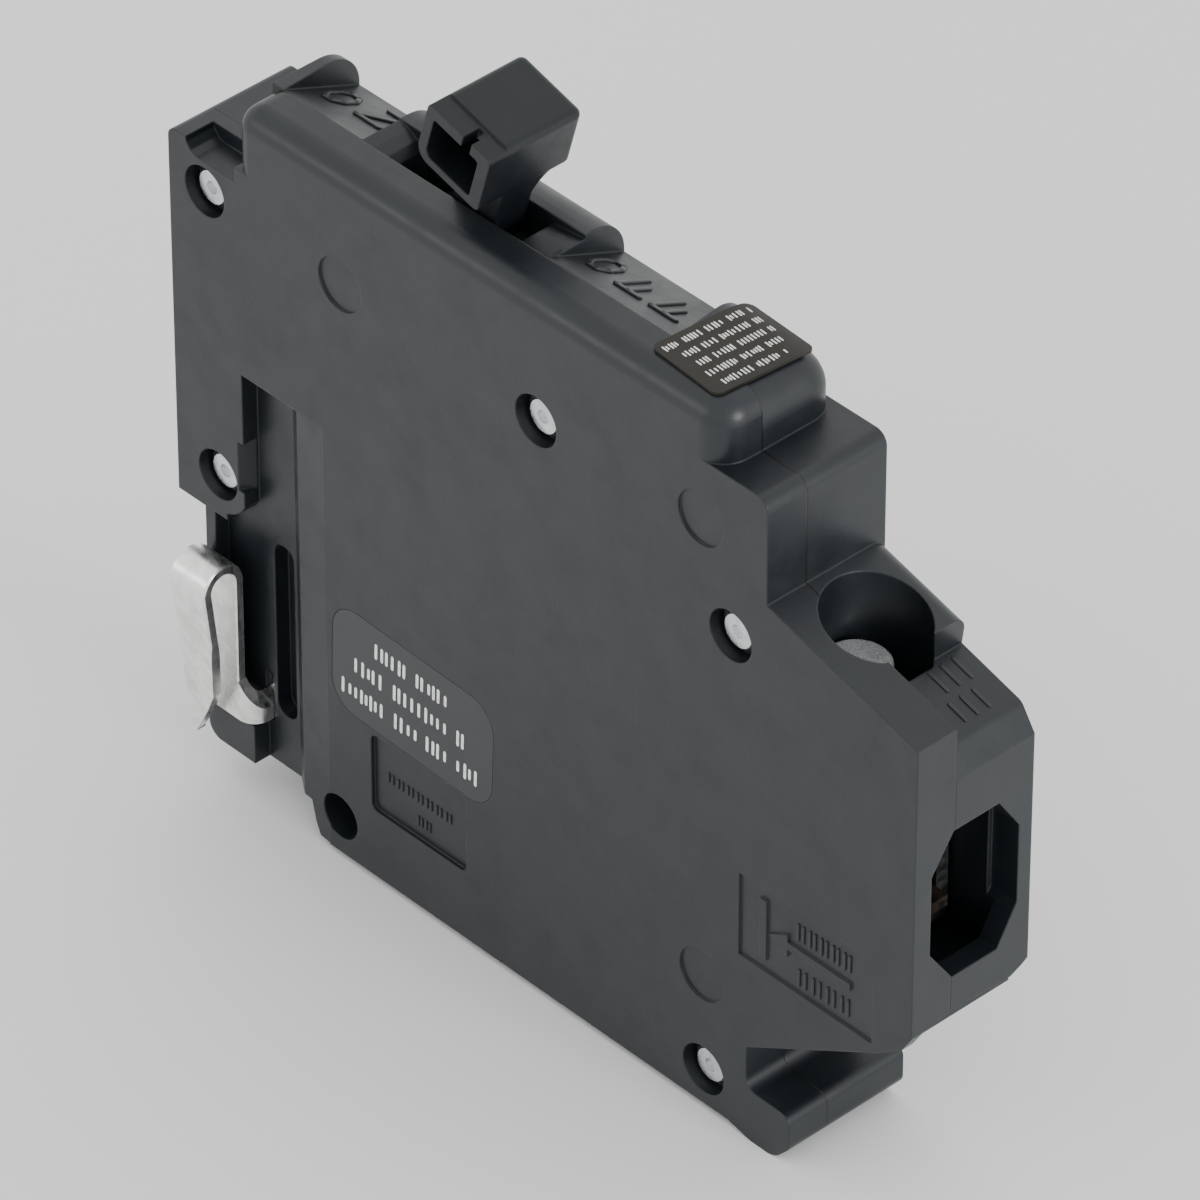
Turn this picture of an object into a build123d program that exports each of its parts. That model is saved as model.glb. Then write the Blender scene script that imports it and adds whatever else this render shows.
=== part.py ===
"""Thin single-pole plug-in circuit breaker, modelled piece by piece in millimetres.

Frame: the origin is the centre of the flat bottom face, +X runs from the line jaw to the wire lug,
+Y from the front face to the back, and +Z towards the toggle handle.
Sizes inside are bench sizes: x from the left end, depth from the front face and height from the bottom.
"""

import os
from math import cos, radians, sin

from build123d import *

# ---- driving dimensions, in millimetres and degrees ----
BODY_L = 85.9
BODY_T = 12.7
SEAM = 4.2
WALL = 1.8
INNER_BACK = BODY_T - WALL
FIT = 0.05
PRESS = 0.02
PIN_SEAT = 0.8
MARK_DEPTH = 0.2
WINDOW_DEPTH = 0.4

TOWER_LEFT = 8.0
TOWER_RIGHT = 64.2
TOWER_TOP = 69.8
SHOULDER_TOP = 63.6
STEP_RIGHT = 69.2
STEP_TOP = 64.4
LUG_SLOPE_TOP = 54.4
LUG_SLOPE_END = 49.8
ROOF_INSIDE = 65.2
TOP_FRONT_R = 2.0
TOP_BACK_R = 3.5
TOWER_CORNER_R = 1.7
BLOCK_CORNER_R = 2.6

FLOOR_BACK = 65.96
SLOT_LEFT = 18.5
SLOT_RIGHT = 40.0
SLOT_BACK = 8.35
THROAT_BOTTOM = 63.5

RIVET_CENTRES = [(4.3, 59.3), (43.2, 57.8), (65.25, 49.2), (62.6, 3.5), (5.0, 31.2)]
RIVET_R = 1.4
RIVET_HEAD_R = 1.95
RIVET_WELL_R = 2.35
RIVET_WELL = 1.6
BOSS_R = 2.6
TIE_CENTRE = (19.2, 3.7)
TIE_R = 2.15

PIVOT = (29.2, 58.8)
PIN_R = 1.0
HANDLE_LEAN = 16.0
SKIRT_R = 8.5
SKIRT_ROOM_R = 8.9
PAD_LEFT = -5.6
PAD_RIGHT = 1.7
PAD_LOW = 15.0
PAD_HIGH = 21.0
PAD_FRONT = 1.5
PAD_BACK = 11.4
NECK_LEFT = -3.3
NECK_RIGHT = 1.4
NECK_FRONT = 4.5
NECK_BACK = 8.0
BRACKET_IN = 7.9
BRACKET_OUT = 10.7
BRACKET_TOP = 15.2
HOLLOW_LOW = 15.7
HOLLOW_HIGH = 19.7
HOLLOW_LEFT = -4.7
HOLLOW_RIGHT = 0.5
WEB_FRONT = 2.3
WEB_BACK = 7.0
FORK_FRONT = 3.4
FORK_BACK = 5.8
HUB_R = 3.2
CHEEK_R = 1.9
FORK_POINT = (27.5, 54.1)
ARM_LEAN = 11.0
ARM_REACH = 20.0
ARM_HALF = 0.8
ARM_CLOSED_LEAN = 35.0
ARM_CLOSED_PIVOT = (30.9, 54.1)
CONTACT_T = 1.2
CRADLE_PIVOT = RIVET_CENTRES[1]
SPRING_LOW = (25.8, 45.3)
SPRING_HIGH = (33.2, 59.8)
SPRING_DEPTH = 8.3
SPRING_POST_R = 0.45
STRAP_T = 1.2
BRAID_R = 0.9
BRAID_ROUTE = [
    (25.8, 38.6), (31.0, 36.5), (38.0, 32.6), (46.0, 28.6), (53.5, 25.8),
    (58.6, 26.2), (60.0, 31.6),
]
ARC_HEIGHTS = [13.0, 17.0, 21.0, 25.0]
ARC_PLATE_T = 1.0

ARMATURE_PIVOT = (57.45, 31.0)
ARMATURE_PIN_R = 0.6
ARMATURE_POST = (51.0, 38.0)
CALIBRATION_CENTRE = (6.8, 31.5)
CALIBRATION_R = 1.3
LUG_CENTRE = (74.6, 6.5)
LUG_WELL_R = 4.5
WELL_RIGHT = 78.3
HOOD_END = 78.2
LUG_LEFT = 70.4
LUG_RIGHT = 79.0
LUG_BOTTOM = 23.6
LUG_TOP = 43.0
SCREW_CENTRE = (73.3, 5.7)
SCREW_R = 2.5
SCREW_HEAD_R = 2.95
SCREW_LOW = 36.9
SCREW_NECK = 46.9
SCREW_TOP = 48.3
LUG_ROOM_TOP = 44.0
ENTRY_BOTTOM = 25.0
ENTRY_TOP = 39.8
ENTRY_FRONT = 1.8
ENTRY_BACK = 11.3

JAW_LEFT = 3.5
JAW_RIGHT = 7.6
JAW_STRIP = 0.9
JAW_REAR = -0.25
JAW_FRONT = -3.7
JAW_BOTTOM = 7.5
JAW_TAB_X = 8.95
JAW_TAB_TOP = 11.5
LABEL_PLACE = Location((28.3, 20.7, 0), (0, 0, -2.0))
LABEL_T = 0.12
TOP_LABEL_PLACE = Location((58.5, 6.5, 0), (0, 0, -4.2))
TOP_LABEL_T = 0.25
LABEL_GAP = 0.145
LABEL_BEND_R = 8.0
RECESS_LEFT = 8.2
RECESS_RIGHT = 17.9
RECESS_TOP = 43.1
RECESS_DEPTH = 1.65
POCKET_DEPTH = 1.5
RIB_RIGHT = 4.2
FOOT_TOP = 7.0


def at(x, depth, z):
    """Model point for a bench point."""
    return Vector(x - BODY_L / 2, depth - BODY_T / 2, z)


def wall(depth):
    """Plane parallel to the front face: sketch x is bench x, sketch y is height, normal to the front."""
    return Plane(origin=at(0, depth, 0), x_dir=(1, 0, 0), z_dir=(0, -1, 0))


def level(height):
    """Horizontal plane: sketch x is bench x, sketch y is depth, normal up."""
    return Plane(origin=at(0, 0, height))


def end(x):
    """Plane across the body: sketch x is depth, sketch y is height, normal towards the lug end."""
    return Plane(origin=at(x, 0, 0), x_dir=(0, 1, 0), z_dir=(1, 0, 0))


def leaning(point, lean, depth):
    """Plane parallel to the front face, centred on a bench point, its up direction leaning to +X."""
    tilt = radians(lean)
    return Plane(origin=at(point[0], depth, point[1]), x_dir=(cos(tilt), 0, -sin(tilt)), z_dir=(0, -1, 0))


def near(shapes, *points):
    """The edges or vertices whose centres lie closest to the given points."""
    return [min(shapes, key=lambda shape: (shape.center() - Vector(*point)).length) for point in points]


def recess_section(left):
    """Level section of the recess beside the jaw, open towards the front."""
    ramp = [(12.6, RECESS_DEPTH), (14.4, 0.4), (RECESS_RIGHT, 0.1)]
    return [(left, -1), (left, RECESS_DEPTH), *ramp, (RECESS_RIGHT, -1)]


def slope_height(x):
    """Height of the sloped deck over the wire lug."""
    share = (x - STEP_RIGHT) / (BODY_L - STEP_RIGHT)
    return LUG_SLOPE_TOP + share * (LUG_SLOPE_END - LUG_SLOPE_TOP)


# ---- case outlines, as bench x and height ----
UNDERSIDE = [
    (3.0, 27.1), (3.0, 3.1), (15.4, 3.1), (15.9, 1.2), (16.5, 0), (65.5, 0), (68.0, -0.6), (70.8, -0.6),
    (72.5, 1.2), (72.5, 4.5), (67.5, 4.6), (67.5, 8.9), (82.5, 17.6), (84.8, 19.3), (BODY_L, 21.1),
]
TOPSIDE = [
    (STEP_RIGHT, LUG_SLOPE_TOP), (STEP_RIGHT, STEP_TOP), (TOWER_RIGHT, STEP_TOP), (TOWER_RIGHT, TOWER_TOP),
    (TOWER_LEFT, TOWER_TOP), (TOWER_LEFT, SHOULDER_TOP), (0, SHOULDER_TOP), (0, 27.1),
]
COVER_END = [(BODY_L, LUG_SLOPE_END)]
BASE_END = [(BODY_L, 44.7), (84.4, 47.0), (77.8, 48.9), (HOOD_END, slope_height(HOOD_END))]
OUTLINE_ROUNDS = [
    (1.5, [(3.0, 3.1)]),
    (0.9, [(0, SHOULDER_TOP), (72.5, 4.5)]),
    (1.2, [(STEP_RIGHT, STEP_TOP), (72.5, 1.2), (67.5, 4.6)]),
    (2.0, [(68.0, -0.6), (70.8, -0.6)]),
    (0.3, [(BODY_L, 21.1), (15.9, 1.2)]),
]

# ---- rooms inside, as bench x and height ----
MECHANISM_ROOM = [
    (11.2, 46.0), (20.5, 46.0), (20.5, 9.0), (23.6, 6.0), (23.6, 2.3), (58.2, 2.3), (58.2, 7.6), (64.5, 11.5),
    (67.4, 20.0), (67.4, 44.0), (62.1, 46.5), (62.1, ROOF_INSIDE), (11.2, ROOF_INSIDE),
]
STRAP_ROOM = [(8.4, 7.2), (21.0, 7.2), (21.0, 46.5), (15.0, 46.5), (8.4, 33.0)]
LUG_ROOM = [(69.8, 22.0), (83.9, 22.0), (83.9, LUG_ROOM_TOP), (69.8, LUG_ROOM_TOP)]
STRAP_PASSAGE = [(66.0, 25.6), (71.0, 25.6), (71.0, 28.6), (66.0, 28.6)]
SLOT_OUTLINE = [
    (SLOT_LEFT, 72), (SLOT_LEFT, 69.7), (19.6, 69.35), (20.6, 68.8), (21.2, 68.0), (22.4, THROAT_BOTTOM),
    (35.3, THROAT_BOTTOM), (36.3, 69.0), (SLOT_RIGHT, 69.4), (SLOT_RIGHT, 72),
]
ENTRY_OUTLINE = [
    (ENTRY_FRONT, 28.6), (4.3, ENTRY_BOTTOM), (9.2, ENTRY_BOTTOM), (ENTRY_BACK, 28.6), (ENTRY_BACK, 36.4),
    (9.0, ENTRY_TOP), (4.1, ENTRY_TOP), (ENTRY_FRONT, 36.4),
]

# ---- cutters that slope or curve the upper face of the base ----
with BuildPart() as floor_wedge:
    with BuildSketch(end(0)):
        Polygon((SEAM, TOWER_TOP), (BODY_T, FLOOR_BACK), (BODY_T, 75), (SEAM, 75), align=None)
    extrude(amount=BODY_L)
    with BuildSketch(level(60)):
        Polygon((SLOT_LEFT, 3), (SLOT_LEFT, 14), (8.8, 14), (9.4, 3), align=None)
        Polygon((40.1, 3), (39.7, 14), (53.2, 14), (54.5, 3), align=None)
    extrude(amount=20, mode=Mode.INTERSECT)

# ---- cutter for the well over the lug screw, flat on the side next to the deck ----
with BuildPart() as screw_well:
    with BuildSketch(level(LUG_ROOM_TOP - 1)):
        with Locations(LUG_CENTRE):
            Circle(LUG_WELL_R)
        Polygon((WELL_RIGHT, 0), (90, 0), (90, BODY_T), (WELL_RIGHT, BODY_T), align=None, mode=Mode.SUBTRACT)
    extrude(amount=14)

# ---- cutter that hollows the lower edge of the lug end towards the seam ----
with BuildPart() as end_hollow:
    with BuildSketch(end(BODY_L + 1)):
        hollow_edge = [(1.3, 21.1), (SEAM, 21.65), (10.8, 21.3), (12, 21.8), (14, 23)]
        Polygon((1.3, 18), *hollow_edge, (14, 18), align=None)
    extrude(amount=-3.0)

# ---- base: rear half of the case ----
with BuildPart() as base:
    with BuildSketch(wall(BODY_T)) as base_outline:
        Polygon(*UNDERSIDE, *BASE_END, *TOPSIDE, align=None)
        for radius, corners in OUTLINE_ROUNDS:
            fillet(near(base_outline.vertices(), *corners), radius)
        fillet(near(base_outline.vertices(), (84.4, 47.0)), 1.0)
    extrude(amount=BODY_T - SEAM)
    fillet(near(base.edges(), at(TOWER_RIGHT, BODY_T, (STEP_TOP + TOWER_TOP) / 2)), 3.0)
    fillet(near(base.edges(), at((TOWER_LEFT + TOWER_RIGHT - 3.0) / 2, BODY_T, TOWER_TOP)), TOP_BACK_R)
    fillet(near(base.edges(), at(73.6, BODY_T, slope_height(73.6))), 1.5)
    add(floor_wedge.part, mode=Mode.SUBTRACT)
    with BuildSketch(wall(SEAM)):
        Polygon(*MECHANISM_ROOM, align=None)
        Polygon(*STRAP_ROOM, align=None)
        Polygon(*LUG_ROOM, align=None)
        Polygon(*STRAP_PASSAGE, align=None)
    extrude(amount=-(INNER_BACK - SEAM), mode=Mode.SUBTRACT)
    with BuildSketch(wall(SEAM)):
        with Locations(PIVOT):
            Circle(SKIRT_ROOM_R)
    extrude(amount=-(10.0 - SEAM), mode=Mode.SUBTRACT)
    # handle slot: two shallow ramps that fall to the throat the neck swings in
    with BuildSketch(wall(SEAM)):
        Polygon(*SLOT_OUTLINE, align=None)
    extrude(amount=-(SLOT_BACK - SEAM), mode=Mode.SUBTRACT)
    # bosses round the rivets that cross the rooms
    with BuildSketch(wall(INNER_BACK)):
        with Locations(*RIVET_CENTRES[1:3]):
            Circle(BOSS_R)
        with Locations(ARMATURE_POST):
            Circle(0.6)
    extrude(amount=INNER_BACK - SEAM)
    with BuildSketch(wall(SEAM)):
        with Locations(*RIVET_CENTRES):
            Circle(RIVET_R + FIT)
        with Locations(TIE_CENTRE):
            Circle(TIE_R)
    extrude(amount=-(BODY_T - SEAM), mode=Mode.SUBTRACT)
    with BuildSketch(wall(BODY_T)):
        with Locations(*RIVET_CENTRES):
            Circle(RIVET_WELL_R)
    extrude(amount=RIVET_WELL, mode=Mode.SUBTRACT)
    # blind seats for the handle pin and the armature pin
    with BuildSketch(wall(INNER_BACK)):
        with Locations(PIVOT):
            Circle(PIN_R + PRESS)
        with Locations(ARMATURE_PIVOT):
            Circle(ARMATURE_PIN_R + PRESS)
    extrude(amount=-PIN_SEAT, mode=Mode.SUBTRACT)
    # well and shaft over the lug screw
    add(screw_well.part, mode=Mode.SUBTRACT)
    # wire entry through the end wall
    with BuildSketch(end(83.0)):
        Polygon(*ENTRY_OUTLINE, align=None)
    extrude(amount=4, mode=Mode.SUBTRACT)
    # seat of the calibration screw in the wall between the rooms
    with BuildSketch(end(66.0)):
        with Locations(CALIBRATION_CENTRE):
            Circle(CALIBRATION_R + FIT)
    extrude(amount=4.0, mode=Mode.SUBTRACT)
    # lower edge of the lug end, with the small ejector nub under it
    add(end_hollow.part, mode=Mode.SUBTRACT)
    with BuildSketch(end(85.4)):
        with Locations((9.7, 21.6)):
            Ellipse(1.5, 1.0)
    extrude(amount=-1.2)
    # room at the back for the jaw of a breaker standing behind
    with BuildSketch(wall(BODY_T)):
        Polygon((2, 2), (7.4, 2), (7.4, 28.0), (-1, 28.0), (-1, 2), align=None)
    extrude(amount=5.4, mode=Mode.SUBTRACT)
    fillet(near(base.edges(), at(7.4, 7.3, 15)), 0.8)
base.part.label = "base"

# ---- cover: front half of the case ----
with BuildPart() as cover:
    with BuildSketch(wall(SEAM)) as cover_outline:
        Polygon(*UNDERSIDE, *COVER_END, *TOPSIDE, align=None)
        for radius, corners in OUTLINE_ROUNDS:
            fillet(near(cover_outline.vertices(), *corners), radius)
    extrude(amount=SEAM)
    fillet(near(cover.edges(), at(TOWER_RIGHT, 0, (STEP_TOP + TOWER_TOP) / 2)), BLOCK_CORNER_R)
    fillet(near(cover.edges(), at(TOWER_LEFT, 0, (SHOULDER_TOP + TOWER_TOP) / 2)), TOWER_CORNER_R)
    tower_middle = (TOWER_LEFT + TOWER_CORNER_R + TOWER_RIGHT - BLOCK_CORNER_R) / 2
    fillet(near(cover.edges(), at(tower_middle, 0, TOWER_TOP)), TOP_FRONT_R)
    with BuildSketch(wall(SEAM)):
        Polygon(*MECHANISM_ROOM, align=None)
        Polygon(*LUG_ROOM, align=None)
        Polygon(*STRAP_PASSAGE, align=None)
        with Locations(PIVOT):
            Circle(SKIRT_ROOM_R)
    extrude(amount=SEAM - WALL, mode=Mode.SUBTRACT)
    with BuildSketch(wall(WALL)):
        with Locations(*RIVET_CENTRES[1:3]):
            Circle(BOSS_R)
    extrude(amount=-(SEAM - WALL))
    with BuildSketch(wall(0)):
        with Locations(*RIVET_CENTRES):
            Circle(RIVET_R + FIT)
        with Locations(TIE_CENTRE):
            Circle(TIE_R)
    extrude(amount=-SEAM, mode=Mode.SUBTRACT)
    with BuildSketch(wall(0)):
        with Locations(*RIVET_CENTRES):
            Circle(RIVET_WELL_R)
    extrude(amount=-RIVET_WELL, mode=Mode.SUBTRACT)
    with BuildSketch(wall(WALL)):
        with Locations(PIVOT):
            Circle(PIN_R + PRESS)
        with Locations(ARMATURE_PIVOT):
            Circle(ARMATURE_PIN_R + PRESS)
    extrude(amount=PIN_SEAT, mode=Mode.SUBTRACT)
    add(screw_well.part, mode=Mode.SUBTRACT)
    with BuildSketch(end(83.0)):
        Polygon(*ENTRY_OUTLINE, align=None)
    extrude(amount=4, mode=Mode.SUBTRACT)
    # recess beside the jaw: its floor rises to the right and its left wall is eased beside the rivet
    with BuildSketch(level(-1)):
        Polygon(*recess_section(8.7), align=None)
    extrude(amount=FOOT_TOP + 1, mode=Mode.SUBTRACT)
    with BuildSketch(level(FOOT_TOP)):
        Polygon(*recess_section(RECESS_LEFT), align=None)
    extrude(amount=RECESS_TOP - FOOT_TOP, mode=Mode.SUBTRACT)
    with BuildSketch(level(31.0)):
        Polygon((7.5, -1), (7.5, 0), (8.3, RECESS_DEPTH), (9.0, RECESS_DEPTH), (9.0, -1), align=None)
    extrude(amount=5.0, mode=Mode.SUBTRACT)
    # seat behind the jaw, with a low rib left of it, and the slit for the jaw's tab
    with BuildSketch(wall(0)):
        Polygon((RIB_RIGHT, FOOT_TOP), (9, FOOT_TOP), (9, 31.0), (RIB_RIGHT, 31.0), align=None)
        with Locations(RIVET_CENTRES[4]):
            Circle(3.6, mode=Mode.SUBTRACT)
        Polygon((2, 27.1), (6.0, 27.1), (6.0, 32), (2, 32), align=None, mode=Mode.SUBTRACT)
    extrude(amount=-RECESS_DEPTH, mode=Mode.SUBTRACT)
    with BuildSketch(wall(0)):
        Polygon((2, FOOT_TOP), (RIB_RIGHT, FOOT_TOP), (RIB_RIGHT, 27.1), (2, 27.1), align=None)
    extrude(amount=-0.25, mode=Mode.SUBTRACT)
    with BuildSketch(wall(0)):
        Polygon((8.45, 7.2), (9.45, 7.2), (9.45, 12.0), (8.45, 12.0), align=None)
    extrude(amount=-SEAM, mode=Mode.SUBTRACT)
    # pocket with rounded corners in the floor of the recess
    with BuildSketch(wall(RECESS_DEPTH)):
        with Locations((11.05, 17.4)):
            RectangleRounded(2.4, 17.8, 1.1)
    extrude(amount=-POCKET_DEPTH, mode=Mode.SUBTRACT)
    # notch in the shoulder beside the tower
    with BuildSketch(wall(0)):
        notch_foot = [(2.06, 64), (2.2, 63.1), (2.7, 62.5), (3.3, 62.2)]
        Polygon(*notch_foot, (TOWER_LEFT, 62.2), (TOWER_LEFT, 64), align=None)
    extrude(amount=-3.0, mode=Mode.SUBTRACT)
    # shallow marks: ejector discs, mould window, and the wire-strip gauge with its bars
    with BuildSketch(wall(0)):
        with Locations((20.4, 58.7), (61.8, 58.7), (62.3, 13.2)):
            Circle(2.5)
        with Locations((74.0, 22.1)):
            Rectangle(15.0, 8.3)
        with Locations((69.2, 22.1)):
            Rectangle(0.8, 6.0, mode=Mode.SUBTRACT)
        with Locations((75.2, 22.1)):
            Rectangle(7.6, 0.7, mode=Mode.SUBTRACT)
        Polygon((69.9, 22.1), (72.0, 23.2), (72.0, 21.0), align=None, mode=Mode.SUBTRACT)
    extrude(amount=-MARK_DEPTH, mode=Mode.SUBTRACT)
    # mould window, which is deeper than the other marks
    with BuildSketch(wall(0)):
        with Locations((28.9, 10.9)):
            RectangleRounded(11.4, 8.0, 0.7)
    extrude(amount=-WINDOW_DEPTH, mode=Mode.SUBTRACT)
    # pocket for the side label, and the lower edge of the lug end
    with BuildSketch(wall(0)):
        with Locations(LABEL_PLACE):
            RectangleRounded(19.3, 10.9, 2.85)
    extrude(amount=-LABEL_T, mode=Mode.SUBTRACT)
    add(end_hollow.part, mode=Mode.SUBTRACT)
cover.part.label = "cover"


def rivet_profile():
    """Half section of a dimpled rivet in depth (up) and radius (across)."""
    front = RIVET_WELL - 0.8
    back = BODY_T - RIVET_WELL + 0.8
    return [
        (0, front + 0.35), (0.6, front + 0.35), (0.6, front), (1.5, front), (RIVET_HEAD_R, front + 0.35),
        (RIVET_HEAD_R, RIVET_WELL), (RIVET_R, RIVET_WELL), (RIVET_R, BODY_T - RIVET_WELL),
        (RIVET_HEAD_R, BODY_T - RIVET_WELL), (RIVET_HEAD_R, back - 0.35), (1.5, back), (0, back),
    ]


# ---- rivets ----
with BuildPart() as rivets:
    for centre in RIVET_CENTRES:
        side = Plane(origin=at(centre[0], 0, centre[1]), x_dir=(1, 0, 0), z_dir=(0, 0, 1))
        with BuildSketch(side):
            Polygon(*rivet_profile(), align=None)
        revolve(axis=Axis(side.origin, (0, 1, 0)))
rivets.part.label = "rivets"

# ---- handle: pad, neck, curved skirt and the fork that carries the contact arm ----
HANDLE_ACROSS = Vector(cos(radians(HANDLE_LEAN)), 0, -sin(radians(HANDLE_LEAN)))
FORK_U = FORK_POINT[0] - PIVOT[0]
FORK_V = FORK_POINT[1] - PIVOT[1]
with BuildPart() as handle:
    with BuildSketch(leaning(PIVOT, HANDLE_LEAN, PAD_BACK)) as pad_face:
        pad_low = [(PAD_LEFT, PAD_LOW), (PAD_RIGHT, PAD_LOW)]
        pad_high = [(PAD_RIGHT, PAD_HIGH), (PAD_LEFT, PAD_HIGH)]
        Polygon(*pad_low, *pad_high, align=None)
        fillet(near(pad_face.vertices(), pad_low[0]), 1.4)
        fillet(near(pad_face.vertices(), *pad_high), 0.7)
        fillet(near(pad_face.vertices(), pad_low[1]), 0.5)
    extrude(amount=PAD_BACK - PAD_FRONT)
    fillet(handle.faces().sort_by(Axis.Y)[-1].edges(), 0.65)
    with BuildSketch(leaning(PIVOT, HANDLE_LEAN, NECK_BACK)):
        Polygon((NECK_LEFT, 6), (NECK_RIGHT, 6), (NECK_RIGHT, 16), (-4.9, 16), (NECK_LEFT, 12.6), align=None)
    extrude(amount=NECK_BACK - NECK_FRONT)
    # curved bracket under the back of the pad
    across = Plane(origin=at(PIVOT[0], 0, PIVOT[1]), x_dir=(0, 1, 0), z_dir=HANDLE_ACROSS)
    with BuildSketch(across.offset(NECK_LEFT)):
        with BuildLine():
            RadiusArc((BRACKET_IN, 13.0), (BRACKET_OUT, BRACKET_TOP), 3.4)
            Polyline((BRACKET_OUT, BRACKET_TOP), (BRACKET_IN, BRACKET_TOP), (BRACKET_IN, 13.0))
        make_face()
    extrude(amount=NECK_RIGHT - NECK_LEFT)
    # hollow front of the pad, its stepped top band and the notch between them
    with BuildSketch(leaning(PIVOT, HANDLE_LEAN, PAD_FRONT)) as pad_hollow:
        hollow_low = [(HOLLOW_LEFT, HOLLOW_LOW), (HOLLOW_RIGHT, HOLLOW_LOW)]
        hollow_high = [(HOLLOW_RIGHT, HOLLOW_HIGH), (HOLLOW_LEFT, HOLLOW_HIGH)]
        Polygon(*hollow_low, *hollow_high, align=None)
        fillet(near(pad_hollow.vertices(), hollow_low[0]), 0.8)
        fillet(near(pad_hollow.vertices(), hollow_low[1], *hollow_high), 0.3)
    extrude(amount=-5.2, taper=3, mode=Mode.SUBTRACT)
    with BuildSketch(leaning(PIVOT, HANDLE_LEAN, PAD_FRONT)):
        with Locations(((PAD_LEFT + PAD_RIGHT) / 2, PAD_HIGH)):
            Rectangle(PAD_RIGHT - PAD_LEFT, 0.4)
    extrude(amount=-2.0, mode=Mode.SUBTRACT)
    with BuildSketch(leaning(PIVOT, HANDLE_LEAN, PAD_FRONT)):
        Polygon((-1.5, 19.0), (-0.5, 19.0), (-0.5, 22), (-1.5, 22), align=None)
    extrude(amount=-1.7, mode=Mode.SUBTRACT)
    # skirt that closes the slot as the handle swings
    with BuildSketch(leaning(PIVOT, 0, 9.2)):
        Circle(SKIRT_R)
        Circle(SKIRT_R - 1.0, mode=Mode.SUBTRACT)
        Polygon((0, 0), (-20, 10.6), (-20, -20), (20, -20), (20, 1.4), align=None, mode=Mode.SUBTRACT)
    extrude(amount=9.2 - WEB_FRONT)
    # web down to the hub, and the two cheeks of the fork
    with BuildSketch(leaning(PIVOT, HANDLE_LEAN, WEB_BACK)):
        neck_top = [(NECK_RIGHT, SKIRT_R - 0.6), (NECK_LEFT, SKIRT_R - 1.0)]
        Polygon((NECK_LEFT, 0), (NECK_RIGHT, 0), *neck_top, align=None)
        Circle(HUB_R)
    extrude(amount=WEB_BACK - WEB_FRONT)
    with BuildSketch(leaning(PIVOT, 0, WEB_BACK)):
        cheek_foot = [(FORK_U + 1.8, FORK_V + 0.5), (FORK_U - 1.8, FORK_V + 0.5)]
        Polygon((-2.6, 0.6), (2.6, -0.6), *cheek_foot, align=None)
        with Locations((FORK_U, FORK_V)):
            Circle(CHEEK_R)
    extrude(amount=WEB_BACK - WEB_FRONT)
    with BuildSketch(leaning(FORK_POINT, 0, FORK_BACK)):
        Circle(2.3)
        Polygon((-4.5, 1.2), (4.5, 0.4), (4.5, -4), (-4.5, -4), align=None)
    extrude(amount=FORK_BACK - FORK_FRONT, mode=Mode.SUBTRACT)
    with BuildSketch(leaning(PIVOT, 0, WEB_BACK)):
        Circle(PIN_R + FIT)
    extrude(amount=WEB_BACK - WEB_FRONT, mode=Mode.SUBTRACT)
    with BuildSketch(leaning(FORK_POINT, 0, WEB_BACK)):
        Circle(0.8)
    extrude(amount=WEB_BACK - WEB_FRONT, mode=Mode.SUBTRACT)
handle.part.label = "handle"


def pin(centre, radius, front, back, label):
    """A plain round pin that lies across the case."""
    with BuildPart() as body:
        with BuildSketch(wall(back)):
            with Locations(centre):
                Circle(radius)
        extrude(amount=back - front)
        chamfer(body.edges(), radius * 0.2)
    body.part.label = label
    return body.part


handle_pin = pin(PIVOT, PIN_R, WALL - 0.7, INNER_BACK + 0.7, "handle_pin")
armature_pin = pin(ARMATURE_PIVOT, ARMATURE_PIN_R, WALL - 0.7, INNER_BACK + 0.7, "armature_pin")

# ---- line jaw: tinned hairpin that stands in front of the face and grips the panel's stab ----
with BuildPart() as line_jaw:
    with BuildSketch(end(JAW_LEFT)):
        with BuildLine():
            Line((JAW_REAR, JAW_BOTTOM), (JAW_REAR, 21.9))
            ThreePointArc((JAW_REAR, 21.9), ((JAW_REAR + JAW_FRONT) / 2, 23.65), (JAW_FRONT, 21.9))
            FilletPolyline((JAW_FRONT, 21.9), (-2.5, 11.5), (-2.0, 8.2), (-2.0, 5.4), radius=4.0)
        trace(line_width=JAW_STRIP)
    extrude(amount=JAW_RIGHT - JAW_LEFT)
    chamfer(line_jaw.faces().sort_by(Axis.X)[-1].edges(), 0.12)
    # slanted tip of the front leg
    with BuildSketch(wall(-1.4)):
        Polygon((4.3, 4), (4.3, 5.6), (6.9, 10.6), (JAW_RIGHT, 16.5), (9, 16.5), (9, 4), align=None)
    extrude(amount=5.0, mode=Mode.SUBTRACT)
    # foot of the rear leg, which bends back into the case and lies against the strap
    with BuildSketch(level(JAW_BOTTOM)):
        with BuildLine():
            FilletPolyline((JAW_RIGHT - 0.6, JAW_REAR), (JAW_TAB_X, JAW_REAR), (JAW_TAB_X, 6.7), radius=1.3)
        trace(line_width=JAW_STRIP)
    extrude(amount=JAW_TAB_TOP - JAW_BOTTOM)
    with BuildSketch(wall(2.4)):
        Polygon((JAW_RIGHT, JAW_TAB_TOP), (9.6, 8.6), (9.6, 12), (JAW_RIGHT, 12), align=None)
    extrude(amount=4.0, mode=Mode.SUBTRACT)
line_jaw.part.label = "line_jaw"

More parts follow.
